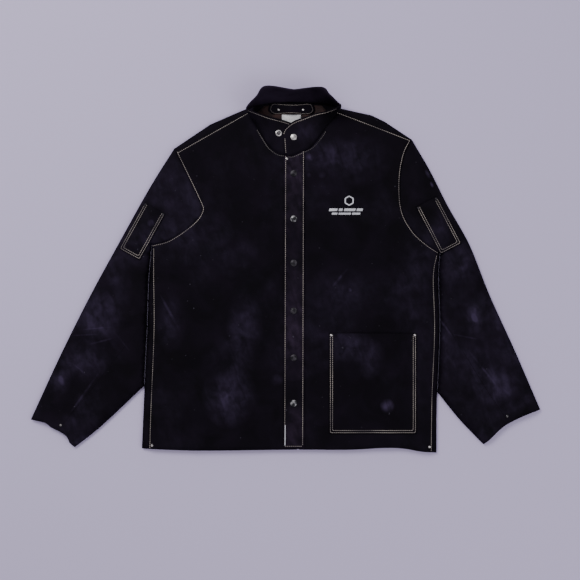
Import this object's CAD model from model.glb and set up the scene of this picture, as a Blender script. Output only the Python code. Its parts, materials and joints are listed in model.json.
"""Leather welding jacket, laid flat and snapped shut. Each panel of hide, line of thread and snap is its own
piece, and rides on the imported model's bodies. Shapes are worked out in millimetres and made in metres."""
import json
import math
import random

import bpy
import numpy as np
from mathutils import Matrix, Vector, noise
from mathutils.bvhtree import BVHTree
from mathutils.geometry import delaunay_2d_cdt


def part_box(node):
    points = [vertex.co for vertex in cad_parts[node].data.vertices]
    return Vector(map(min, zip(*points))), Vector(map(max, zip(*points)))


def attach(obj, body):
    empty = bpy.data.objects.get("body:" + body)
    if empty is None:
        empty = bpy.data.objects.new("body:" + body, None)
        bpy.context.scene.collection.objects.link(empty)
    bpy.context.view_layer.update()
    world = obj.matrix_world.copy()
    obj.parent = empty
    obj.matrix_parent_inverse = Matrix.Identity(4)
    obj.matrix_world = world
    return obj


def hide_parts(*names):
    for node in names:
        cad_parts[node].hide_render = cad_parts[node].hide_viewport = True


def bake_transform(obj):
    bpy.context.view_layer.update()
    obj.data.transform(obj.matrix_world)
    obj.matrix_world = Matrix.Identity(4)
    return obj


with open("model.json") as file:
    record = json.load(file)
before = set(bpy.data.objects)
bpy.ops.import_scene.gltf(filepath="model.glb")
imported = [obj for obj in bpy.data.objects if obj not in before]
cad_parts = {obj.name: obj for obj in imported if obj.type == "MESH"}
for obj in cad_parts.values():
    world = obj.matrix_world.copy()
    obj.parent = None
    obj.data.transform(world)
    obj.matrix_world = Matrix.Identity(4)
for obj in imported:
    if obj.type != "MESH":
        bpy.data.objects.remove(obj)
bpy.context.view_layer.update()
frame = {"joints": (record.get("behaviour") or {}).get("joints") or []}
random.seed(7)
MM = 0.001

# ---- outlines, in millimetres, from the hem up
HALVES = {
    "left": {
        "side_edge": [(333, -406), (334, -289), (340, -135), (337, -20), (340, 34)],
        "side_seam": [(324, -403), (325, -289), (331, -135), (328, -20), (336, 30)],
        "armhole": [(340, 34), (307, 56), (278, 85), (256, 129), (252, 195), (261, 250), (278, 285)],
        "shoulder_edge": [(278, 285), (219, 324), (190, 338), (122, 353)],
        "shoulder_seam": [(275, 284), (113, 346)],
        "outer_edge": [(278, 285), (318, 217), (357, 140), (406, 52), (450, -58), (505, -179), (562, -311)],
        "cuff": [(562, -311), (527, -324), (490, -342), (470, -357), (450, -377), (437, -388)],
        "under_edge": [(437, -388), (384, -333), (334, -271)],
        "sleeve_seam": [(490, -338), (440, -262), (395, -190), (343, -106)],
        "pocket": {"centre": (337, 95), "turn": 27.7},
    },
    "right": {
        "side_edge": [(-317, -397), (-311, -258), (-305, -135), (-301, -20), (-294, 52)],
        "side_seam": [(-302, -396), (-298, -289), (-292, -135), (-293, -20), (-293, 46)],
        "armhole": [(-294, 52), (-254, 63), (-204, 98), (-184, 126), (-190, 150), (-245, 265)],
        "shoulder_edge": [(-245, 265), (-166, 318), (-111, 342), (-85, 353)],
        "shoulder_seam": [(-238, 257), (-82, 345)],
        "outer_edge": [(-245, 265), (-276, 217), (-309, 162), (-364, 63), (-430, -58), (-496, -190),
                       (-562, -333)],
        "cuff": [(-562, -333), (-529, -340), (-518, -349), (-496, -360), (-481, -371), (-476, -384),
                 (-465, -394)],
        "under_edge": [(-465, -394), (-408, -349), (-311, -258)],
        "sleeve_seam": [(-500, -354), (-430, -270), (-360, -180), (-300, -106)],
        "pocket": {"centre": (-315, 82), "turn": -29},
    },
}
HEM = [(-317, -397), (-188, -401), (10, -399), (142, -399), (219, -395), (263, -397), (296, -403),
       (333, -406)]
NECKLINE = [(122, 353), (104, 332), (85, 305), (58, 272), (32, 258), (3, 248),
            (-12, 260), (-58, 309), (-74, 332), (-85, 353)]
BACK_NECK = [(122, 353), (80, 367), (18, 371), (-45, 367), (-85, 353)]
UNDERLAP_EDGE = 25
HIP_POCKET = {"centre": (192, -253), "turn": 0, "width": 192, "height": 221}
PEN_POCKET = {"width": 52, "height": 117}

# Heights above the floor.
HIDE = 1.5            # one layer of hide
EDGE_HEIGHT = 6.0     # where the back rolls round to the front
LOFT = 8.5            # how far the fronts rise above that edge
ROLL = 30.0           # how far in from an edge the roll reaches
SPACING = 8.0         # between the points of a panel
SLEEVE_GAP = 1.8      # between a sleeve and the body's side


# ---- plan geometry
def smooth(run, step=6.0, count=None):
    """A smooth curve through an open run, with its points a step apart or a count to each span."""
    p = np.array(run, float)
    p = np.vstack([2 * p[0] - p[1], p, 2 * p[-1] - p[-2]])
    out = []
    for a, b, c, d in zip(p[:-3], p[1:-2], p[2:-1], p[3:]):
        steps = count or max(1, int(round(np.linalg.norm(c - b) / step)))
        for t in np.arange(steps) / steps:
            out.append(0.5 * (2 * b + (c - a) * t + (2 * a - 5 * b + 4 * c - d) * t ** 2
                              + (3 * b - 3 * c + d - a) * t ** 3))
    return np.vstack([out, p[-2]])


def straight(run, step=6.0):
    """Points about a step apart along the straight lines of an open run."""
    out = []
    for a, b in zip(np.array(run[:-1], float), np.array(run[1:], float)):
        count = max(1, int(round(np.linalg.norm(b - a) / step)))
        out += [a + (b - a) * i / count for i in range(count)]
    return np.vstack([out, run[-1]])


def joined(*runs):
    """A closed outline of runs laid end to end, without the points that they share."""
    points = np.vstack(runs)
    step = np.linalg.norm(points - np.roll(points, 1, axis=0), axis=1)
    return points[step > 0.05]


def distance(points, run):
    """How far each point is from an open run."""
    a, b = run[:-1], run[1:]
    ab = b - a
    t = np.einsum("ijk,jk->ij", points[:, None] - a[None], ab) / np.maximum((ab ** 2).sum(1), 1e-9)
    nearest = a[None] + np.clip(t, 0, 1)[..., None] * ab[None]
    return np.sqrt(((points[:, None] - nearest) ** 2).sum(2)).min(1)


def inside(points, outline):
    """Which points a closed outline holds."""
    a, b = outline, np.roll(outline, -1, axis=0)
    x, y = points[:, None, 0], points[:, None, 1]
    crosses = (a[None, :, 1] > y) != (b[None, :, 1] > y)
    rise = np.where(np.abs(b[:, 1] - a[:, 1]) < 1e-9, 1e-9, b[:, 1] - a[:, 1])
    at = a[None, :, 0] + (y - a[None, :, 1]) * ((b[:, 0] - a[:, 0]) / rise)[None]
    return ((crosses & (x < at)).sum(1) % 2) == 1


def closed(run):
    return np.vstack([run, run[:1]])


def nearest_of(points, runs):
    """How far each point is from the nearest of some runs."""
    return np.min([distance(points, run) for run in runs], axis=0)


def lengths_of(run):
    """How far along a run each of its points is."""
    return np.r_[0, np.cumsum(np.linalg.norm(np.diff(run, axis=0), axis=1))]


def along_run(places, lengths, values):
    """The values of a run's points, read off at places along it."""
    return np.column_stack([np.interp(places, lengths, column) for column in values.T])


def step_up(value, low, high):
    t = np.clip((value - low) / (high - low), 0, 1)
    return t * t * (3 - 2 * t)


def plan_mesh(outline, spacing=SPACING):
    """Triangles that fill a closed outline, as (points, faces)."""
    low, high = outline.min(0), outline.max(0)
    rows = np.arange(low[1] + spacing * 0.5, high[1], spacing * 0.866)
    grid = np.array([(x + (spacing / 2 if i % 2 else 0), y) for i, y in enumerate(rows)
                     for x in np.arange(low[0], high[0], spacing)])
    grid = grid[inside(grid, outline)]
    grid = grid[distance(grid, closed(outline)) > spacing * 0.55]
    points = np.vstack([outline, grid])
    made = delaunay_2d_cdt([Vector(p) for p in points], [], [list(range(len(outline)))], 1, 1e-4)
    return np.array([tuple(v) for v in made[0]]), [list(f) for f in made[2]]


for half in HALVES.values():
    for key in ("side_edge", "side_seam", "armhole", "outer_edge", "cuff", "under_edge", "sleeve_seam"):
        half[key] = smooth(half[key])
    for key in ("shoulder_edge", "shoulder_seam"):
        half[key] = straight(half[key])
LEFT, RIGHT = HALVES["left"], HALVES["right"]
HEM = smooth(HEM)
NECKLINE = smooth(NECKLINE)
BACK_NECK = smooth(BACK_NECK)
BODY = joined(HEM, LEFT["side_edge"], LEFT["armhole"], LEFT["shoulder_edge"], BACK_NECK,
              RIGHT["shoulder_edge"][::-1], RIGHT["armhole"][::-1], RIGHT["side_edge"][::-1])


# ---- heights
def rolled(distance_in, reach=ROLL, rise=LOFT):
    """The rise of a sheet that rolls up from its edge."""
    t = np.clip(distance_in / reach, 0, 1)
    return rise * np.sqrt(np.maximum(0, 1 - (1 - t) ** 2))


def rough(points, size, seed):
    """Soft unevenness, from -1 to 1, with lumps of about that size."""
    return np.array([noise.noise(Vector((x / size + seed, y / size - seed, seed * 0.37)))
                     for x, y in points])


# Soft creases: from, to, half width, height. They follow the pull lines at the armpits, elbows and hem.
BODY_CREASES = [
    ((300, 30), (190, 95), 14, 2.4), ((318, -10), (215, 20), 16, 2.0), ((-280, 40), (-190, 95), 14, 2.2),
    ((-285, 0), (-180, 30), 17, 2.0), ((-275, -60), (-120, -110), 26, 2.0),
    ((300, -60), (200, -90), 22, 1.8), ((-240, -200), (-90, -160), 26, 2.0),
    ((-210, -310), (-60, -300), 30, 2.2), ((60, -60), (180, -40), 24, 1.6),
    ((70, 150), (80, 20), 16, 1.6), ((-60, 120), (-70, -20), 18, 1.6),
    ((-150, 240), (-120, 120), 16, 1.8), ((190, 270), (210, 150), 16, 1.8),
    ((-200, -390), (-190, -330), 18, 2.6), ((220, -392), (232, -372), 16, 2.2),
]
SLEEVE_CREASES = {
    "left": [
        ((345, 130), (300, 40), 16, 2.4), ((400, 10), (345, -40), 15, 3.0),
        ((430, -30), (360, -90), 14, 3.2), ((440, -90), (375, -130), 15, 2.6),
        ((480, -180), (420, -200), 16, 2.2), ((520, -280), (470, -250), 15, 2.2),
        ((300, 210), (275, 120), 15, 2.0),
    ],
    "right": [
        ((-340, 60), (-290, 20), 15, 2.4), ((-400, 0), (-330, -60), 15, 3.0),
        ((-430, -70), (-350, -110), 14, 3.2), ((-460, -140), (-380, -150), 14, 2.6),
        ((-500, -240), (-430, -220), 16, 2.2), ((-540, -310), (-490, -290), 14, 2.2),
        ((-262, 215), (-235, 130), 16, 2.0),
    ],
}


def creases(points, lines):
    lift = np.zeros(len(points))
    for start, end, width, height in lines:
        away = distance(points, straight([start, end], 12.0)) / width
        lift += height * np.exp(-away ** 2)
    return lift


BODY_EDGES = [half[key] for half in HALVES.values() for key in ("side_edge", "shoulder_edge")]


def body_top(points):
    """The height of the torso's upper side."""
    near = nearest_of(points, BODY_EDGES)
    droop = 1 - step_up(distance(points, HEM), 0, 80)
    middle = np.exp(-((points[:, 0] - 19) / 34) ** 2)
    wave = creases(points, BODY_CREASES) + 1.3 * rough(points, 90, 3.1) + 0.5 * rough(points, 34, 8.7)
    return EDGE_HEIGHT + rolled(near) - 4.5 * droop + wave * step_up(near, 4, 40) * (1 - 0.8 * middle)


def sleeve_edges(half):
    hip = half["side_edge"][half["side_edge"][:, 1] > half["under_edge"][-1][1]]
    return [half["outer_edge"], half["under_edge"], hip]


def sleeve_top(side):
    """The height of a sleeve's upper side."""
    half = HALVES[side]

    def height(points):
        near = nearest_of(points, sleeve_edges(half))
        droop = 1 - step_up(distance(points, half["cuff"]), 0, 60)
        wave = (creases(points, SLEEVE_CREASES[side]) + 1.2 * rough(points, 70, 5.3)
                + 0.5 * rough(points, 28, 1.9))
        return EDGE_HEIGHT + rolled(near) - 2.5 * droop + wave * step_up(near, 3, 30)
    return height


def underside(edges):
    """The height of the side that lies on the floor, which rises only at a rolled edge."""
    def height(points):
        near = nearest_of(points, edges)
        return EDGE_HEIGHT - rolled(near, 16.0, EDGE_HEIGHT - 0.3)
    return height


# ---- meshes
def mesh_object(name, verts, faces, material, smooth_shading=True):
    mesh = bpy.data.meshes.new(name)
    mesh.from_pydata([tuple(v) for v in np.asarray(verts, float) * MM], [], faces)
    mesh.validate()
    mesh.polygons.foreach_set("use_smooth", [smooth_shading] * len(mesh.polygons))
    mesh.materials.append(MATERIALS[material])
    piece = bpy.data.objects.new(name, mesh)
    bpy.context.scene.collection.objects.link(piece)
    return piece


def thickened(verts, faces, thickness):
    """A sheet given its thickness on its inner side, with a rim along its open edges."""
    verts = np.asarray(verts, float)
    normals = np.zeros_like(verts)
    for face in faces:
        a, b, c = verts[face[:3]]
        normals[face] += np.cross(b - a, c - a)
    normals /= np.maximum(np.linalg.norm(normals, axis=1), 1e-9)[:, None]
    inner = verts - normals * thickness
    count = len(verts)
    edges = dict.fromkeys(edge for face in faces for edge in zip(face, face[1:] + face[:1]))
    rim = [[b, a, a + count, b + count] for a, b in edges if (b, a) not in edges]
    below = [[i + count for i in face[::-1]] for face in faces]
    return np.vstack([verts, inner]), faces + below + rim


def sheet_of_hide(name, outline, height, material, thickness=HIDE, spacing=SPACING):
    """A panel seen from above, at the height that a function gives, with its thickness below."""
    points, faces = plan_mesh(outline, spacing)
    verts = np.column_stack([points, height(points)])
    return mesh_object(name, *thickened(verts, faces, thickness), material)


def shell_of_hide(name, outline, top, bottom, folded_runs, material, keep_top=None):
    """Two sheets that are one hide where the outline follows a folded run, and open elsewhere."""
    points, faces = plan_mesh(outline)
    folded = nearest_of(points, folded_runs) < 0.5
    on_edge = distance(points, closed(outline)) < 0.5
    shared = folded & on_edge
    count = len(points)
    twin = np.where(shared, np.arange(count), np.arange(count) + count)
    verts = np.vstack([np.column_stack([points, bottom(points)]), np.column_stack([points, top(points)])])
    centres = np.array([points[face].mean(0) for face in faces])
    kept = np.ones(len(faces), bool) if keep_top is None else keep_top(centres)
    both = [face[::-1] for face in faces]
    both += [[int(twin[i]) for i in face] for face, keep in zip(faces, kept) if keep]
    used = sorted({i for face in both for i in face})
    index = {old: new for new, old in enumerate(used)}
    verts, both = verts[used], [[index[i] for i in face] for face in both]
    return mesh_object(name, *thickened(verts, both, HIDE), material)


# ---- materials
def node_material(name):
    material = bpy.data.materials.new(name)
    material.use_nodes = True
    tree = material.node_tree
    return material, tree, tree.nodes["Principled BSDF"]


def link(source, target):
    """Feeds a socket from another node's socket, or gives it a plain value."""
    if hasattr(source, "default_value"):
        target.id_data.links.new(source, target)
    else:
        target.default_value = source


def noise_node(tree, scale, detail=6.0, distortion=0.0):
    coordinates = tree.nodes.get("Texture Coordinate") or tree.nodes.new("ShaderNodeTexCoord")
    node = tree.nodes.new("ShaderNodeTexNoise")
    node.inputs["Scale"].default_value = scale
    node.inputs["Detail"].default_value = detail
    node.inputs["Distortion"].default_value = distortion
    link(coordinates.outputs["Object"], node.inputs["Vector"])
    return node.outputs["Fac"]


def ramp(source, stops):
    node = source.id_data.nodes.new("ShaderNodeValToRGB")
    elements = node.color_ramp.elements
    while len(elements) < len(stops):
        elements.new(0.5)
    for element, (position, value) in zip(elements, stops):
        element.position = position
        element.color = (*value, 1) if hasattr(value, "__len__") else (value, value, value, 1)
    link(source, node.inputs["Fac"])
    return node.outputs["Color"]


def mixed(factor, a, b):
    node = factor.id_data.nodes.new("ShaderNodeMix")
    node.data_type = "RGBA"
    for key, value in (("Factor", factor), ("A", a), ("B", b)):
        link(value, node.inputs[key])
    return node.outputs["Result"]


def bumped(shader, sources):
    """Bump from several (height, strength, distance) sources, one over the other."""
    last = None
    for height, strength, reach in sources:
        node = shader.id_data.nodes.new("ShaderNodeBump")
        node.inputs["Strength"].default_value = strength
        node.inputs["Distance"].default_value = reach
        link(height, node.inputs["Height"])
        if last is not None:
            link(last.outputs["Normal"], node.inputs["Normal"])
        last = node
    link(last.outputs["Normal"], shader.inputs["Normal"])


HIDE_DARK = (0.0023, 0.0015, 0.0032)
HIDE_MID = (0.0066, 0.0044, 0.0088)
DUST = (0.036, 0.026, 0.055)
# Rubbed places: x, y and the half width and half height, in millimetres, how worn each one is, and its turn.
FRONT_WEAR = [
    (-90, -125, 42, 75, 0.5), (-104, -205, 40, 60, 0.35), (-124, -280, 62, 75, 0.85),
    (-252, -118, 35, 70, 0.4), (-19, -245, 16, 14, 0.6), (80, 250, 90, 50, 0.45),
    (150, 238, 90, 60, 0.35), (120, -50, 80, 60, 0.3), (-210, 60, 40, 60, 0.25), (53, 244, 10, 10, 1.0),
    (81, 206, 9, 9, 0.8), (52, 205, 6, 6, 0.8), (-255, -95, 4, 45, 0.9, 0.5), (142, -47, 5, 5, 1.6),
    (120, -20, 4, 30, 0.8, -0.7),
]
PLACKET_WEAR = [(18, 210, 30, 90, 0.5), (18, -60, 30, 160, 0.3)]
POCKET_WEAR = [(137, -168, 60, 40, 0.6), (186, -197, 34, 50, 0.5), (223, -302, 17, 17, 1.5)]
PEN_POCKET_WEAR = [(-296, 100, 9, 9, 0.9), (-318, 70, 30, 30, 0.3), (340, 85, 30, 50, 0.3)]
SLEEVE_WEAR = [
    (-408, -104, 60, 55, 0.6), (-443, -203, 60, 50, 0.7), (-494, -245, 25, 35, 0.7),
    (-379, -47, 45, 60, 0.4), (415, -111, 22, 36, 0.8), (463, -261, 55, 45, 0.6),
    (351, -162, 22, 60, 0.5), (400, 20, 50, 60, 0.35), (313, 208, 5, 12, 1.5, 0.4),
    (322, 185, 4, 8, 1.5, 0.4), (-442, -146, 34, 2.5, 0.6, 0.05), (-405, -160, 32, 3, 0.65, 0.25),
    (-420, -132, 40, 2, 0.5, 0.1), (-441, -272, 62, 3.5, 0.6, 0.95), (-360, -160, 30, 2.5, 0.4, -0.9),
    (-482, -208, 18, 12, 0.8), (-452, -222, 26, 2, 0.55, -0.7), (347, -122, 34, 3, 1.1, -0.95),
    (438, -225, 60, 3, 0.6, -0.9), (395, -150, 30, 2.5, 0.7, -0.2), (415, -109, 7, 12, 1.6, 0.4),
    (-493, -246, 7, 14, 1.3, 0.3),
]


def calculated(operation, a, b):
    node = a.id_data.nodes.new("ShaderNodeMath")
    node.operation = operation
    for socket, value in zip(node.inputs, (a, b)):
        link(value, socket)
    return node.outputs["Value"]


def placed(tree, location, scale, turn=0.0):
    """Object coordinates seen from a place, in units of the scale."""
    coordinates = tree.nodes.new("ShaderNodeTexCoord")
    node = tree.nodes.new("ShaderNodeMapping")
    node.vector_type = "TEXTURE"
    node.inputs["Location"].default_value = location
    node.inputs["Rotation"].default_value = (0, 0, turn)
    node.inputs["Scale"].default_value = scale
    link(coordinates.outputs["Object"], node.inputs["Vector"])
    return node.outputs["Vector"]


def worn_places(tree, places):
    total = None
    for x, y, half_width, half_height, strength, *turn in places:
        spot = tree.nodes.new("ShaderNodeTexGradient")
        spot.gradient_type = "SPHERICAL"
        link(placed(tree, (x * MM, y * MM, 0), (half_width * MM, half_height * MM, 4), sum(turn)),
             spot.inputs["Vector"])
        share = calculated("MULTIPLY", spot.outputs["Fac"], strength * 1.15)
        total = share if total is None else calculated("ADD", total, share)
    return total


def hide_material(name, worn, shade=1.0, places=(), warm=0.0):
    """Napped split hide: near black with a violet cast, dusty where it is rubbed. Shade makes it lighter."""
    material, tree, shader = node_material(name)
    broad = noise_node(tree, 5.5, 5.0, 0.6)
    cloud = noise_node(tree, 17.0, 8.0, 0.5)
    nap = noise_node(tree, 900.0, 3.0)
    grain = noise_node(tree, 240.0, 4.0)
    streaks = noise_node(tree, 1.0, 6.0, 0.8)
    link(placed(tree, (0, 0, 0), (0.016, 0.045, 0.05), 0.35), streaks.node.inputs["Vector"])
    base = ramp(cloud, [(0.35, tuple(v * shade for v in HIDE_DARK)),
                        (0.72, tuple(v * shade for v in HIDE_MID))])
    patches = ramp(broad, [(0.46, 0.0), (0.82, worn)])
    if places:
        patches = calculated("ADD", patches, worn_places(tree, places))
    broken = noise_node(tree, 42.0, 10.0, 0.25)
    breaks = ramp(broken, [(0.34, 0.25), (0.66, 1.2)])
    brushed = calculated("MULTIPLY", ramp(streaks, [(0.32, 0.35), (0.66, 1.0)]), breaks)
    dusty = calculated("MINIMUM", calculated("MULTIPLY", patches, brushed), 1.0)
    dust = (DUST[0] * (1 + warm), DUST[1], DUST[2] * (1 - warm / 2), 1)
    colour = mixed(dusty, base, dust)
    specks = noise_node(tree, 130.0, 2.0)
    speck = ramp(specks, [(0.745, 0.0), (0.79, 0.45)])
    colour = mixed(speck, colour, (0.09, 0.08, 0.11, 1))
    link(colour, shader.inputs["Base Color"])
    link(ramp(cloud, [(0.3, 0.72), (0.7, 0.92)]), shader.inputs["Roughness"])
    shader.inputs["Specular IOR Level"].default_value = 0.07
    bumped(shader, [(cloud, 0.35, 0.004), (grain, 0.35, 0.0008), (nap, 0.3, 0.0004)])
    return material


def thread_material(name, pale, dirty, shine=0.5):
    material, tree, shader = node_material(name)
    shader.inputs["Specular IOR Level"].default_value = shine
    soil = noise_node(tree, 22.0, 5.0)
    link(ramp(soil, [(0.32, dirty), (0.62, pale)]), shader.inputs["Base Color"])
    shader.inputs["Roughness"].default_value = 0.75
    twist = noise_node(tree, 1800.0, 2.0)
    bumped(shader, [(twist, 0.5, 0.0003)])
    return material


def metal_material(name, colour, worn_colour, roughness, metallic=1.0):
    material, tree, shader = node_material(name)
    wear = noise_node(tree, 150.0, 6.0)
    link(ramp(wear, [(0.42, colour), (0.66, worn_colour)]), shader.inputs["Base Color"])
    link(ramp(wear, [(0.3, roughness), (0.7, roughness + 0.2)]), shader.inputs["Roughness"])
    shader.inputs["Metallic"].default_value = metallic
    bumped(shader, [(wear, 0.15, 0.0005)])
    return material


def woven_material(name, light, dark, scale=1400.0):
    material, tree, shader = node_material(name)
    coordinates = tree.nodes.new("ShaderNodeTexCoord")
    heights = []
    for axis in ("X", "Y"):
        wave = tree.nodes.new("ShaderNodeTexWave")
        wave.bands_direction = axis
        wave.inputs["Scale"].default_value = scale / 6.28
        link(coordinates.outputs["Object"], wave.inputs["Vector"])
        heights.append(wave.outputs["Fac"])
    weave = calculated("MULTIPLY", *heights)
    soil = noise_node(tree, 60.0, 5.0)
    link(ramp(soil, [(0.3, dark), (0.65, light)]), shader.inputs["Base Color"])
    shader.inputs["Roughness"].default_value = 0.9
    bumped(shader, [(weave, 0.5, 0.0004)])
    return material


HIDES = {
    "front": (0.40, 1.0, FRONT_WEAR),
    "placket": (0.9, 1.1, PLACKET_WEAR, 0.15),
    "sleeve": (0.75, 1.15, SLEEVE_WEAR),
    "collar": (0.40, 1.15, [(40, 300, 40, 30, 0.35)]),
    "collar_back": (0.60, 3.3),
    "pocket": (0.20, 0.9, POCKET_WEAR),
    "pen_pocket": (0.40, 1.0, PEN_POCKET_WEAR),
    "back": (0.40,),
}
MATERIALS = {
    **{key: hide_material(f"hide_{key}", *look) for key, look in HIDES.items()},
    "thread": thread_material("seam_thread", (0.50, 0.44, 0.39), (0.17, 0.145, 0.145)),
    "soiled_thread": thread_material("soiled_thread", (0.20, 0.18, 0.17), (0.03, 0.026, 0.03)),
    "dull_thread": thread_material("dull_thread", (0.008, 0.006, 0.010), (0.003, 0.002, 0.004), 0.05),
    "white_thread": thread_material("white_thread", (0.80, 0.80, 0.84), (0.55, 0.55, 0.60)),
    "black_snap": metal_material(
        "black_snap_paint", (0.008, 0.007, 0.010), (0.055, 0.048, 0.058), 0.30, 0.6),
    "dark_rivet": metal_material("tarnished_rivet", (0.10, 0.095, 0.10), (0.30, 0.28, 0.28), 0.3),
    "rubbed_snap": metal_material("rubbed_snap", (0.03, 0.03, 0.034), (0.42, 0.41, 0.42), 0.28, 0.85),
    "nickel": metal_material("worn_nickel", (0.72, 0.69, 0.67), (0.34, 0.31, 0.31), 0.22),
    "lining": woven_material("brown_lining", (0.045, 0.018, 0.016), (0.010, 0.005, 0.006)),
    "label": woven_material("white_label", (0.86, 0.86, 0.86), (0.70, 0.70, 0.72), 2400.0),
}

# ---- folds, from the model's joints
JOINTS = {joint["name"]: joint for joint in frame["joints"]}


def fold_ends(joint_name, before, after, toward):
    """Points before and after a fold line, across it, in metres, for a piece that crosses it."""
    joint = JOINTS[joint_name]
    pos = Vector(joint["pos_m"])
    axis = Vector(joint["axis"]).normalized()
    across = axis.cross(Vector((0, 0, 1))).normalized()
    if across.dot(Vector(toward) - pos) < 0:
        across = -across
    return pos - across * before * MM, pos + across * after * MM


FOLDS = {
    "left_front": fold_ends("left_front_open", 18, 18, (0.02, 0, 0)),
    "right_front": fold_ends("right_front_open", 16, 16, (0.02, 0, 0)),
    "left_forearm": fold_ends("left_sleeve_fold", 12, 40, (0.5, -0.3, 0)),
    "right_forearm": fold_ends("right_sleeve_fold", 12, 40, (-0.5, -0.3, 0)),
}


def bends(piece, body):
    """The piece crosses the fold between the torso and that body."""
    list(FOLDS[body])
    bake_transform(piece)


def rides(piece, body, replaced=()):
    """The piece keeps to one body, and may take the place of a CAD piece."""
    if replaced:
        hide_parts(replaced)
    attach(piece, body)
    return piece


def area_of(outline):
    x, y = outline[:, 0], outline[:, 1]
    return abs(np.dot(x, np.roll(y, -1)) - np.dot(y, np.roll(x, -1))) / 2 * MM * MM


def declare(piece, outline):
    """The piece is a sheet of hide or cloth, cut to that outline."""
    size = (outline.max(0) - outline.min(0)) * MM
    area = area_of(outline)
    if area < 0.3 * size[0] * size[1]:
        size = np.array([size.max(), area / size.max()])


# ---- torso
LAP = 1.8             # a lapped panel lies this far above the one under it
LIP = 11              # how far the back runs in under a front, past a seam
SEAM_SIDES = [LEFT["side_seam"], RIGHT["side_seam"], LEFT["shoulder_seam"], RIGHT["shoulder_seam"]]


def between(run, x0, x1):
    return run[(run[:, 0] > x0) & (run[:, 0] < x1)]


LEFT_EDGE = 30        # the left front's edge, under the placket
LEFT_LENGTH = 655
hem_y = np.interp(LEFT_EDGE, *HEM.T)
LEFT_FRONT = joined(
    between(HEM, LEFT_EDGE + 3, 321), LEFT["side_seam"], LEFT["armhole"], LEFT["shoulder_seam"],
    between(NECKLINE, LEFT_EDGE + 2, 112),
    straight([(LEFT_EDGE, hem_y + LEFT_LENGTH), (LEFT_EDGE, hem_y)], SPACING))
RIGHT_FRONT = joined(
    between(HEM, -299, UNDERLAP_EDGE - 3),
    straight([(UNDERLAP_EDGE, -399), (UNDERLAP_EDGE, 254)], SPACING),
    between(NECKLINE, -81, UNDERLAP_EDGE - 2),
    RIGHT["shoulder_seam"][::-1], RIGHT["armhole"][::-1], RIGHT["side_seam"][::-1])
NECK_HOLE = joined(NECKLINE, BACK_NECK[::-1])


def lip_only(centres):
    """Where the back's upper side is kept: at the seams and between the fronts, but not in the neck."""
    near_seam = nearest_of(centres, SEAM_SIDES) < LIP
    under_fronts = inside(centres, LEFT_FRONT) | inside(centres, RIGHT_FRONT)
    between_fronts = distance(centres, straight([(28, -410), (28, 300)])) < 60
    in_neck = inside(centres, NECK_HOLE) | (distance(centres, BACK_NECK) < 1.5)
    return (near_seam | ~(under_fronts | between_fronts)) & ~in_neck


def front_top(points):
    return body_top(points) + LAP


def placket_top(points):
    edge = distance(points, closed(PLACKET_OUTLINE))
    return front_top(points) + 3.2 - 0.9 * (1 - step_up(edge, 0, 3.5))


back = rides(shell_of_hide("back_panel_hide", BODY, body_top, underside(BODY_EDGES), BODY_EDGES, "back",
                           lip_only), "torso", replaced="back_panel")
FRONTS = {"left": LEFT_FRONT, "right": RIGHT_FRONT}
fronts = {}
for side, outline in FRONTS.items():
    fronts[side] = sheet_of_hide(f"{side}_front_hide", outline, front_top, "front")
    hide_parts(f"{side}_front_panel", f"{side}_front_flap")
PLACKET_OUTLINE = joined(
    straight([(-4, -396), (42, -396), (42, 263), (32, 257)], 5),
    smooth([(32, 257), (18, 251), (6, 248), (-4, 248)], 5), straight([(-4, 248), (-4, -396)], 5))
PLACKET_HIDE = 2.8    # the strip is doubled
placket = sheet_of_hide("placket_hide", PLACKET_OUTLINE, placket_top, "placket", PLACKET_HIDE, 5.0)
rides(placket, "left_front", replaced="placket_strip")

# ---- sleeves
sleeves = {}
SLEEVE_OUTLINES = {}
for side, half in HALVES.items():
    hip = half["side_edge"][half["side_edge"][:, 1] > half["under_edge"][-1][1] + 2]
    outward = 1 if side == "left" else -1
    hip_run = np.vstack([half["under_edge"][-1:], hip + (SLEEVE_GAP * outward, 0)])
    armhole = half["armhole"]
    tuck = np.sin(np.linspace(0, math.pi, len(armhole)))[:, None] * 6
    toward = np.array([20.0, 150.0]) - armhole
    armhole = armhole + toward / np.linalg.norm(toward, axis=1)[:, None] * tuck
    outline = joined(half["outer_edge"], half["cuff"], half["under_edge"], hip_run, armhole)
    SLEEVE_OUTLINES[side] = outline

    def top(points, side=side, half=half):
        own = step_up(distance(points, half["armhole"]), 4, 50)
        return body_top(points) * (1 - own) + sleeve_top(side)(points) * own

    def bottom(points, half=half):
        tucked = 1 - step_up(distance(points, half["armhole"]), 6, 20)
        return underside(sleeve_edges(half))(points) + 1.7 * tucked

    folded = [half["outer_edge"], half["under_edge"], hip_run]
    piece = shell_of_hide(f"{side}_sleeve_hide", outline, top, bottom, folded, "sleeve")
    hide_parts(*[f"{side}_{part}_sleeve_{layer}" for part in ("upper", "lower")
                         for layer in ("top", "under")])
    sleeves[side] = (piece, top)

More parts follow.
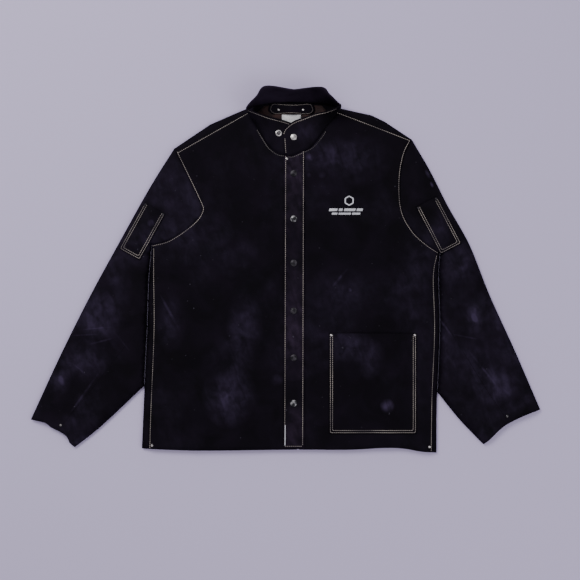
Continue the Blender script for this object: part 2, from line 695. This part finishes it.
# ---- collar
# Each half runs from its front end to the middle of the back: the seam edge, then the free edge.
COLLAR = {
    "left": (
        [(-2, 253, 20.8), (11, 247, 20.8), (34, 256, 20.0), (59, 270, 17.6), (84, 302, 16.8),
         (104, 330, 17.0), (117, 347, 18), (109, 359, 12), (85, 364.5, 8), (52, 367, 6.5), (18, 368, 6.2)],
        [(-5, 295, 20.8), (1, 310, 21), (18, 323.5, 21.5), (42, 332, 24), (66, 338, 34), (90, 339.5, 50),
         (119.5, 349.5, 66), (113, 359, 63), (96, 377, 58), (78, 393, 54.5), (18, 388, 52)],
        6,
    ),
    "right": (
        [(27, 258, 17.2), (16, 252, 17.2), (3, 249, 17.2), (-16, 253, 17.0), (-35, 267, 16.8),
         (-49, 287, 16.8), (-66, 318, 17.0), (-82, 345, 18), (-72, 358.5, 11), (-48, 364.5, 7.5),
         (-16, 367, 6.4), (18, 368, 6.2)],
        [(28, 308, 17.6), (20, 316, 17.6), (5, 323, 18), (-14, 328.5, 20), (-36, 332, 32), (-54, 335.5, 46),
         (-70, 338.5, 58), (-85, 343, 66), (-79, 355, 66), (-63, 372, 63), (-43, 395, 57), (18, 388, 52)],
        7,
    ),
}
COLLAR_THICKNESS = 2.4
COLLAR_STEPS = 6


def inner_back(points):
    return underside(BODY_EDGES)(points) + HIDE


def collar_surface(side, rows=9):
    """Rows of points from the seam edge to the free edge, which swells a little between them."""
    low, high = (smooth(run, count=COLLAR_STEPS) for run in COLLAR[side][:2])
    past_corner = np.clip((np.arange(len(low)) / COLLAR_STEPS - COLLAR[side][2] - 0.3) / 1.2, 0, 1)
    low[:, 2] += (inner_back(low[:, :2]) - 0.6 - low[:, 2]) * past_corner
    along = np.gradient((low + high) / 2, axis=0)
    out = np.cross(along, high - low)
    out /= np.linalg.norm(out, axis=1)[:, None]
    if side == "right":
        out = -out
    share = np.linspace(0, 1, rows)
    grid = low[None] + (high - low)[None] * share[:, None, None]
    ripple = np.array([[noise.noise(Vector(p / 38.0)) for p in row] for row in grid])
    swell = (2.0 + 1.6 * ripple) * np.sin(math.pi * share)[:, None]
    return grid + out[None] * swell[..., None]


def collar_piece(name, grid, flipped, node, material="collar"):
    rows, columns = grid.shape[:2]
    faces = [[r * columns + c, r * columns + c + 1, (r + 1) * columns + c + 1, (r + 1) * columns + c]
             for r in range(rows - 1) for c in range(columns - 1)]
    if flipped:
        faces = [face[::-1] for face in faces]
    piece = mesh_object(name, *thickened(grid.reshape(-1, 3), faces, COLLAR_THICKNESS), material)
    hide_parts(node)
    return piece


collar_grids = {side: collar_surface(side) for side in COLLAR}
collars = {}
back_parts = {}
for side, grid in collar_grids.items():
    corner = COLLAR[side][2] * COLLAR_STEPS
    collars[side] = collar_piece(f"{side}_collar_hide", grid[:, :corner + 1], side == "right",
                                 f"{side}_collar_leaf")
    back_parts[side] = grid[:, corner:]
back_grid = np.concatenate([back_parts["left"], back_parts["right"][:, -2::-1]], axis=1)
collar_back = rides(collar_piece("standing_collar_hide", back_grid, False, "standing_collar", "collar_back"),
                    "torso")

# ---- patch pockets
def turned_to(place, points):
    """Points about a pocket's middle, turned and moved to where it is sewn on."""
    a = math.radians(place["turn"])
    spin = np.array([[math.cos(a), math.sin(a)], [-math.sin(a), math.cos(a)]])
    return np.asarray(points, float) @ spin + np.array(place["centre"], float)


def pocket_piece(node, place, under, lift, material="pocket"):
    """A patch that is sewn down on three sides and bulges towards its open upper edge."""
    w, h = place["width"] / 2, place["height"] / 2
    outline = turned_to(place, straight([(-w, -h), (w, -h), (w, h), (-w, h), (-w, -h)])[:-1])
    sewn = turned_to(place, straight([(-w, h), (-w, -h), (w, -h), (w, h)]))

    def height(points):
        slack = step_up(distance(points, sewn), 7, min(w, h) * 0.8)
        return under(points) + LAP + 0.2 + lift * slack

    piece = sheet_of_hide(f"{node}_hide", outline, height, material, HIDE, 6.0)
    return rides(piece, "torso", replaced=node), outline


PLACES = {side: {**PEN_POCKET, **half["pocket"]} for side, half in HALVES.items()}
hip_pocket, hip_outline = pocket_piece("hip_pocket", HIP_POCKET, front_top, 3.5)
pen_pockets = {side: pocket_piece(f"{side}_pen_pocket", PLACES[side], sleeves[side][1], 2.6, "pen_pocket")[0]
               for side in HALVES}


# ---- what lies on the surfaces
def surface(*pieces):
    """Ray-casting trees for the pieces, for placing thread and metal on them."""
    return [BVHTree.FromPolygons([v.co for v in piece.data.vertices],
                                 [p.vertices[:] for p in piece.data.polygons]) for piece in pieces]


def on(trees, x, y):
    """The highest point of the pieces at a place seen from above, and its normal, in metres."""
    best = None
    for tree in trees:
        place, normal, _, _ = tree.ray_cast(Vector((x * MM, y * MM, 0.3)), Vector((0, 0, -1)))
        if place is not None and (best is None or place.z > best[0].z):
            best = (place, normal if normal.z > 0 else -normal)
    return best


def stitch_shape(sides=6):
    """One stitch: a soft rod along X, one unit long and one wide."""
    rings = [(-0.5, 0.0), (-0.44, 0.6), (-0.28, 1.0), (0.28, 1.0), (0.44, 0.6), (0.5, 0.0)]
    angles = [2 * math.pi * i / sides for i in range(sides)]
    verts = [(x, radius * 0.5 * math.cos(angle), radius * 0.5 * math.sin(angle))
             for x, radius in rings for angle in angles]
    faces = [[r * sides + i, r * sides + (i + 1) % sides, (r + 1) * sides + (i + 1) % sides,
              (r + 1) * sides + i] for r in range(len(rings) - 1) for i in range(sides)]
    return np.array(verts), faces


STITCH_VERTS, STITCH_FACES = stitch_shape()
PITCH = 4.2
THREAD = 1.15


def stitch_mesh(name, lines, material="thread", length=3.3, width=THREAD, tall=0.75):
    """All the stitches of some lines. A line is (point, normal) pairs, in metres, one per stitch end."""
    verts, faces = [], []
    for line in lines:
        for (a, na), (b, nb) in zip(line[:-1], line[1:]):
            along = b - a
            if along.length < 1e-6:
                continue
            stretch = min(along.length, length * MM)
            x = along.normalized()
            y = (na + nb).normalized().cross(x).normalized()
            z = x.cross(y)
            middle = (a + b) / 2 + z * 0.12 * MM
            x = (x + y * random.uniform(-0.05, 0.05)).normalized()
            axes = np.array([x * stretch, y * width * MM, z * tall * MM])
            base = len(verts) * len(STITCH_VERTS)
            verts.append(STITCH_VERTS @ axes + np.array(middle))
            faces += [[i + base for i in face] for face in STITCH_FACES]
    return mesh_object(name, np.vstack(verts) / MM, faces, material)


def sewn_on(name, lines, body, *look):
    """Stitches that keep to one body."""
    return rides(stitch_mesh(name, lines, *look), body)


def seam(trees, run, pitch=PITCH):
    """Stitch ends at an even pitch along a plan run, on the surfaces."""
    run = np.asarray(run, float)
    lengths = lengths_of(run)
    found = [on(trees, x, y) for x, y in along_run(np.arange(0, lengths[-1], pitch), lengths, run)]
    return [hit for hit in found if hit is not None]


def beside(run, offset):
    """A run moved sideways, towards its left."""
    run = np.asarray(run, float)
    step = np.gradient(run, axis=0)
    step /= np.linalg.norm(step, axis=1)[:, None]
    return run + np.column_stack([-step[:, 1], step[:, 0]]) * offset


front_surface = {side: surface(fronts[side]) for side in HALVES}
placket_surface = surface(placket)
sleeve_surface = {side: surface(sleeves[side][0]) for side in HALVES}

torso_lines = []
for side, half in HALVES.items():
    inward = 1 if side == "left" else -1
    for key, inset in (("side_seam", 3.0), ("armhole", 2.6), ("shoulder_seam", 3.0)):
        torso_lines.append(seam(front_surface[side], beside(half[key], inset * inward)))
torso_thread = sewn_on("torso_seam_thread", torso_lines, "torso")


def pocket_thread(node, place, piece, insets):
    """Lines of stitches round the three sewn sides of a pocket."""
    lines = []
    for inset in insets:
        w, h = place["width"] / 2 - inset, place["height"] / 2 - inset
        end = h + inset - 3
        run = turned_to(place, straight([(-w, end), (-w, -h), (w, -h), (w, end)], 3.0))
        lines.append(seam(surface(piece), run))
    return sewn_on(f"{node}_thread", lines, "torso")


hip_thread = pocket_thread("hip_pocket", HIP_POCKET, hip_pocket, (2.6, 7.4))
pen_threads = {side: pocket_thread(f"{side}_pen_pocket", PLACES[side], pen_pockets[side], (2.4, 7.0))
               for side in HALVES}

PLACKET_RUNS = [[(0.5, 247), (-1.6, -391)], [(39.5, 258), (37.6, -391)], [(-1.6, -391), (37.6, -391)]]
placket_thread = sewn_on("placket_thread", [seam(placket_surface, straight(run, 5)) for run in PLACKET_RUNS],
                         "left_front")
tack = seam(placket_surface, straight([(-0.6, -345), (-1.2, -389)], 4), 1.25)
tack_ends = [[(place + Vector((-0.0012, 0, 0)), normal), (place + Vector((0.0012, 0.0003, 0)), normal)]
             for place, normal in tack]
bar_tack = sewn_on("placket_bar_tack", tack_ends, "left_front", "white_thread", 2.6, 1.1, 0.9)

# The neck seam's thread lies on the fronts, beside the collar, and turns with each front.
NECK_SEAM = {
    "left": smooth([(6, 245), (16, 244.5), (38, 254), (62, 267), (80, 288), (90, 304)], 4),
    "right": smooth([(-3, 247), (-18, 250), (-37, 264), (-51, 285), (-64, 307)], 4),
}
neck_threads = {}
for side, run in NECK_SEAM.items():
    line = seam(front_surface[side] + placket_surface, run)
    neck_threads[side] = stitch_mesh(f"{side}_neck_thread", [line], "soiled_thread")


def collar_line(side, last, share=0.93):
    """Stitch ends along a leaf's outer face, at a share of its height, as far as a column."""
    grid = collar_grids[side]
    row = share * (len(grid) - 1)
    low = int(row)
    points = (grid[low] + (grid[low + 1] - grid[low]) * (row - low))[1:last]
    out = np.cross(np.gradient(grid[low], axis=0), grid[-1] - grid[0]) * (1 if side == "left" else -1)
    out /= np.linalg.norm(out, axis=1)[:, None]
    lengths = lengths_of(points)
    places = np.arange(0, lengths[-1], PITCH)
    return [(Vector(p * MM), Vector(n).normalized()) for p, n in zip(
        along_run(places, lengths, points), along_run(places, lengths, out[1:last]))]


collar_threads = {}
for side in COLLAR:
    lines = [collar_line(side, COLLAR[side][2] * COLLAR_STEPS - 1)]
    if side == "left":
        front_edge = collar_grids[side][:, 0] + (3.0, 0, 0)
        lengths = lengths_of(front_edge)
        spots = along_run(np.arange(0, lengths[-1] - 2, PITCH), lengths, front_edge)
        lines.append([(Vector(p * MM), Vector((0, 0, 1))) for p in spots])
    collar_threads[side] = stitch_mesh(f"{side}_collar_thread", lines)

# The forward sleeve seams are sewn in dark thread, in a shallow groove.
sleeve_threads = {}
for side, half in HALVES.items():
    line = seam(sleeve_surface[side], half["sleeve_seam"])
    sleeve_threads[side] = stitch_mesh(f"{side}_sleeve_thread", [line], "dull_thread", 3.0, 0.8, 0.5)

# ---- neck interior
YOKE = joined(smooth([(-62, 345), (-40, 306), (18, 290), (76, 306), (94, 345)], 6),
              smooth([(80, 360), (18, 362), (-46, 360)], 6))
yoke = rides(sheet_of_hide("neck_lining_cloth", YOKE, lambda p: inner_back(p) + 1.1, "lining", 0.8),
             "torso", "neck_lining")
LABEL = straight([(-8, 318), (34, 318), (34, 340), (-8, 340), (-8, 318)], 4)[:-1]


def label_height(points):
    return inner_back(points) + 2.2 + 0.5 * rough(points, 14, 4.4)


label = rides(sheet_of_hide("neck_label_cloth", LABEL, label_height, "label", 0.5, 4.0),
              "torso", "neck_label")

# The loop is as large as its CAD piece, and rises between its two rivets.
hanger_low, hanger_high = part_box("hanger_loop")
HANGER_ENDS = [tuple(v / MM for v in (sum(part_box(f"hanger_rivet_{i}"), Vector()) / 2)) for i in (1, 2)]
x0, x1 = hanger_low.x / MM, hanger_high.x / MM
y0, y1 = hanger_low.y / MM, hanger_high.y / MM + 4
x_mid, y_mid = (x0 + x1) / 2, (y0 + y1) / 2
HANGER = smooth([
    (x0 + 9, y0), (x_mid, y0 + 1), (x1 - 9, y0), (x1 - 1, y0 + 6), (x1, y_mid), (x1 - 4, y1 - 2),
    (x1 - 14, y1), (x_mid, y1 - 3.5), (x0 + 14, y1), (x0 + 4, y1 - 2), (x0, y_mid), (x0 + 1, y0 + 6),
    (x0 + 9, y0)], 3)[:-1]


def hanger_height(points):
    ends = np.array([p[:2] for p in HANGER_ENDS])
    middle = ends.mean(0)[0]
    span = abs(ends[1][0] - ends[0][0]) / 2
    inside_span = np.clip(1 - np.abs(points[:, 0] - middle) / span, 0, 1)
    return hanger_low.z / MM + 2.2 + 7.0 * np.sin(inside_span * math.pi / 2) ** 2


hanger = rides(sheet_of_hide("hanger_loop_hide", HANGER, hanger_height, "collar", 2.0, 3.5), "torso",
               replaced="hanger_loop")
hanger_edge = closed(HANGER + (HANGER.mean(0) - HANGER) * 0.10)
hanger_thread = sewn_on("hanger_loop_thread", [seam(surface(hanger), hanger_edge, 3.0)], "torso",
                        "thread", 2.4, 0.8, 0.6)


# ---- metal
def lathe(name, profile, place, normal, material, sides):
    """A piece turned from (radius, height) pairs in millimetres, standing on a place along a normal."""
    turn = Vector((0, 0, 1)).rotation_difference(normal)
    angles = [2 * math.pi * i / sides for i in range(sides)]
    verts, faces, rings = [], [], []
    for radius, height in profile:
        spots = [(radius * math.cos(a), radius * math.sin(a)) for a in angles] if radius > 1e-6 else [(0, 0)]
        rings.append(range(len(verts), len(verts) + len(spots)))
        verts += [turn @ Vector((x, y, height)) + place / MM for x, y in spots]
    for a, b in zip(rings[:-1], rings[1:]):
        for i in range(sides):
            j = (i + 1) % sides
            corners = a[i % len(a)], a[j % len(a)], b[j % len(b)], b[i % len(b)]
            faces.append(list(dict.fromkeys(corners)))
    return mesh_object(name, verts, faces, material)


# Profiles are (radius, height) pairs. The shank of each goes down through the hide.
CAP_PROFILE = [(0, -1.2), (4.8, -1.2), (4.8, 0.1), (7.3, 0.1), (7.5, 0.5), (7.3, 1.0), (6.6, 1.25),
               (6.1, 1.1), (5.6, 1.25), (4.2, 1.75), (2.2, 2.1), (0, 2.2)]
SHANK = [(0, -2.6), (5.2, -2.6), (5.2, -1.9), (2.2, -1.8), (2.2, 0.1)]
STUD_PROFILE = SHANK + [(4.6, 0.15), (4.9, 0.5), (3.4, 0.7), (2.4, 0.8), (2.3, 1.3), (2.8, 1.8), (2.6, 2.3),
                        (1.6, 2.5), (0, 2.4)]
RING_PROFILE = SHANK + [(7.0, 0.15), (7.4, 0.6), (7.0, 1.4), (5.9, 1.8), (4.6, 1.7), (3.6, 1.1), (2.9, 0.7),
                        (2.4, 1.6), (1.7, 1.9), (0.9, 1.2), (0, 0.9)]
WELL_PROFILE = [(0, 0.9), (4.3, 0.9), (4.2, 1.65), (2.0, 1.75), (0, 1.75)]
RIVET_PROFILE = [(0, -3.4), (3.2, -3.4), (3.2, -2.6), (1.4, -2.5), (1.4, 0.1), (3.9, 0.1), (4.0, 0.5),
                 (3.4, 1.1), (2.2, 1.5), (0.9, 1.6), (0.6, 1.25), (0, 1.2)]
RIVET_SMALL = [(r * 0.72, h * 0.9) for r, h in RIVET_PROFILE]


def centre_of(node):
    low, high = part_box(node)
    return (low + high) / 2 / MM


def fasten(node, name, profile, trees, body, material="nickel", sides=28, moved=(0, 0)):
    """A turned piece that takes a CAD fastener's place, on the surface under it."""
    centre = centre_of(node) + Vector((*moved, 0))
    place, normal = on(trees, centre.x, centre.y)
    return rides(lathe(name, profile, place, normal, material, sides), body, node)


def rivet(node, trees, material="nickel", body="torso"):
    fasten(node, node.replace("rivet", "rivet_head"), RIVET_SMALL, trees, body, material, sides=20)


placket_caps, placket_studs = [], []
for i in range(1, 7):
    paint = "rubbed_snap" if i in (2, 6) else "black_snap"
    placket_caps.append(fasten(
        f"placket_snap_cap_{i}", f"placket_snap_{i}_cap", CAP_PROFILE, placket_surface, "left_front",
        paint))
    placket_studs.append(fasten(
        f"placket_snap_stud_{i}", f"placket_snap_{i}_stud", [(r, h * 0.8) for r, h in STUD_PROFILE],
        front_surface["right"], "right_front"))
collar_surfaces = {side: surface(collars[side]) for side in HALVES}
fasten("collar_snap_cap", "collar_snap_front", [(r * 0.93, h) for r, h in CAP_PROFILE],
       collar_surfaces["left"], "left_front")
fasten("collar_snap_stud", "collar_snap_back", [(r, h * 0.5) for r, h in STUD_PROFILE],
       collar_surfaces["right"], "right_front")
# The bare snap stands a little to one side of its CAD piece, which has to keep clear of the fold.
BARE_SNAP_MOVED = (-7, -2)
fasten("spare_snap_stud", "bare_ring_snap", RING_PROFILE, collar_surfaces["right"], "right_front",
       moved=BARE_SNAP_MOVED)
fasten("spare_snap_stud", "bare_ring_snap_well", WELL_PROFILE, collar_surfaces["right"], "right_front",
       "black_snap", moved=BARE_SNAP_MOVED)
rivet("neck_rivet", placket_surface, body="left_front")
for side in HALVES:
    for i in (1, 2):
        rivet(f"{side}_pen_pocket_rivet_{i}", surface(pen_pockets[side]), "black_snap")
    rivet(f"{side}_cuff_rivet", sleeve_surface[side], "dark_rivet", f"{side}_forearm")
    rivet(f"{side}_hem_rivet", front_surface[side])
for i in (1, 2):
    rivet(f"hip_pocket_rivet_{i}", surface(hip_pocket))
    rivet(f"hanger_rivet_{i}", surface(hanger))


# ---- chest badge, in satin stitch
def satin(centre_run, width, pitch=1.0, slant=0.25):
    """Thread ends laid side by side across a run on the chest, each one as wide as the band."""
    run = np.asarray(centre_run, float)
    lengths = lengths_of(run)
    lines = []
    for place in np.arange(pitch / 2, lengths[-1], pitch):
        before, middle, after = along_run(np.array([place - 0.5, place, place + 0.5]), lengths, run)
        ahead = after - before
        ahead /= max(np.linalg.norm(ahead), 1e-9)
        across = np.array([-ahead[1], ahead[0]]) + ahead * slant
        ends = [on(front_surface["left"], *(middle + across * s)) for s in (-width / 2, width / 2)]
        if all(ends):
            lines.append(ends)
    return lines


# A plain hexagon over two rows of broken bars: y, height, indent and each bar's share of the width.
HEXAGON = {"y": 149, "radius": 10, "width": 3.0}
BARS = [(129, 6.5, 0, (0.26, 0.14, 0.34, 0.20)), (120.5, 5.0, 6, (0.18, 0.36, 0.26))]
badge_x = centre_of("chest_badge").x
badge_low, badge_high = (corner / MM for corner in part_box("chest_badge"))
hexagon = [(badge_x + HEXAGON["radius"] * math.sin(i * math.pi / 3),
            HEXAGON["y"] + HEXAGON["radius"] * math.cos(i * math.pi / 3)) for i in range(7)]
badge_lines = []
for a, b in zip(hexagon[:-1], hexagon[1:]):
    badge_lines += satin(straight([a, b], 2), HEXAGON["width"])
for y, height, indent, shares in BARS:
    x = badge_low.x + 2 + indent
    for share in shares:
        wide = (badge_high.x - badge_low.x - 10) * share
        badge_lines += satin(straight([(x, y), (x + wide - 3, y)], 2), height)
        x += wide
badge = sewn_on("chest_badge_thread", badge_lines, "torso", "white_thread", 12.0, 1.05, 0.9)
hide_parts("chest_badge")

# ---- what moves with what
for side in HALVES:
    bends(fronts[side], f"{side}_front")
    bends(sleeves[side][0], f"{side}_forearm")
    bends(sleeve_threads[side], f"{side}_forearm")
    bends(collars[side], f"{side}_front")
    bends(collar_threads[side], f"{side}_front")
    bends(neck_threads[side], f"{side}_front")

# ---- sheets
# The flat sizes of the collar's pieces: the back stands up, so its height is taken from the leaves.
declare(back, BODY)
declare(fronts["left"], LEFT_FRONT)
declare(fronts["right"], RIGHT_FRONT)
declare(placket, PLACKET_OUTLINE)
declare(hip_pocket, hip_outline)
for side, half in HALVES.items():
    sleeve, outline = sleeves[side][0], SLEEVE_OUTLINES[side]
    # A sleeve is measured along its own axis, from the shoulder to the middle of the cuff.
    along = half["cuff"][len(half["cuff"]) // 2] - half["shoulder_seam"][0 if side == "left" else -1]
    along = along / np.linalg.norm(along)
    2 * area_of(outline)
declare(yoke, YOKE)
declare(label, LABEL)
declare(hanger, HANGER)

# ---- floor, light and camera
MATERIALS["floor"], _, floor_shader = node_material("pale_floor")
floor_shader.inputs["Base Color"].default_value = (0.60, 0.53, 0.75, 1)
floor_shader.inputs["Roughness"].default_value = 0.9
floor = mesh_object("floor", [(-6000, -6000, 0), (6000, -6000, 0), (6000, 6000, 0), (-6000, 6000, 0)],
                    [[0, 1, 2, 3]], "floor", False)
floor.location.z = -0.0004


def area_light(name, location, size, power, colour=(1, 1, 1)):
    """A soft round light that points at the middle of the jacket."""
    light = bpy.data.lights.new(name, "AREA")
    light.shape = "DISK"
    light.size = size
    light.energy = power
    light.color = colour
    lamp = bpy.data.objects.new(name, light)
    lamp.location = location
    lamp.rotation_mode = "QUATERNION"
    lamp.rotation_quaternion = (-Vector(location)).to_track_quat("-Z", "Y")
    bpy.context.scene.collection.objects.link(lamp)


area_light("key", (-1.3, 1.6, 2.4), 1.6, 55)
area_light("fill", (1.8, -1.2, 2.2), 2.2, 22, colour=(0.95, 0.93, 1.0))
world = bpy.data.worlds.new("studio")
world.use_nodes = True
background = world.node_tree.nodes["Background"]
background.inputs["Color"].default_value = (0.86, 0.85, 0.92, 1)
background.inputs["Strength"].default_value = 0.55
bpy.context.scene.world = world

# The camera looks straight down, and the view is this wide where the jacket's front lies.
VIEW_WIDTH = 1.276
CAMERA_HEIGHT = 2.6
FRONT_HEIGHT = 0.014
camera = bpy.data.cameras.new("camera")
camera.sensor_width = 36
camera.lens = camera.sensor_width * (CAMERA_HEIGHT - FRONT_HEIGHT) / VIEW_WIDTH
viewer = bpy.data.objects.new("camera", camera)
viewer.location = (0.0099, -0.0473, CAMERA_HEIGHT)
bpy.context.scene.collection.objects.link(viewer)
bpy.context.scene.camera = viewer
